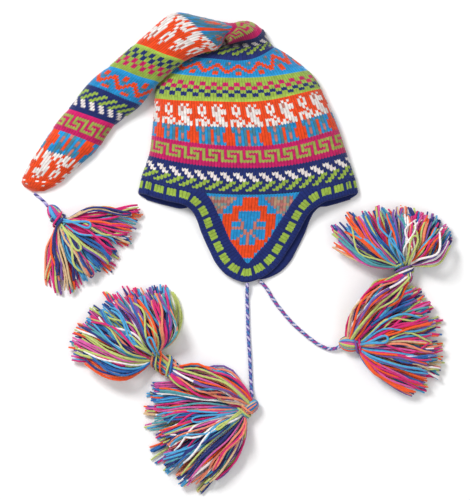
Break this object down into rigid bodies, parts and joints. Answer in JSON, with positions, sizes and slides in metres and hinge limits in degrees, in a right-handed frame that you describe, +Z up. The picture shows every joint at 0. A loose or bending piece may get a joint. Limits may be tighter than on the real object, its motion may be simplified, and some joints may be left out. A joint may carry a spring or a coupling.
{
  "type": "chullo hat",
  "caption": "Knitted hat with ear flaps, a long folded tail and yarn tassels on braided cords, lying flat.",
  "frame": {"origin": "on the flat underside of the crown, midway between the rim's corners", "axes": "+Z up from the surface that the hat lies on, +Y from the ear flaps to the top of the crown, +X to the right seen from above"},
  "size_m": [0.5133, 0.57, 0.045],
  "materials": {
    "patterned_knit": "stranded wool knitting in bands of navy, magenta, lime, orange and blue",
    "edging_knit": "navy knitted edging with lime squares",
    "flap_knit": "light blue stranded knitting with an orange medallion",
    "braided_cord": "braided wool in purple, blue and white",
    "twisted_cord": "twisted wool in lilac and navy",
    "tassel_yarn": "loose wool yarn in many colours",
    "tie_yarn": "wool yarn wound tight"
  },
  "bodies": {
    "root": {"crown_and_tail": "patterned_knit", "edging_band": "edging_knit", "ear_flap_upper": "flap_knit", "ear_flap_lower": "flap_knit", "left_flap_cord": "braided_cord", "right_flap_cord": "braided_cord", "tail_cord": "twisted_cord", "tail_tassel": "tassel_yarn", "left_tassel": "tassel_yarn", "right_tassel": "tassel_yarn", "tail_tassel_tie": "tie_yarn", "left_tassel_tie": "tie_yarn", "left_pompom_tie": "tie_yarn", "right_tassel_tie": "tie_yarn", "right_pompom_tie": "tie_yarn"}
  },
  "joints": []
}
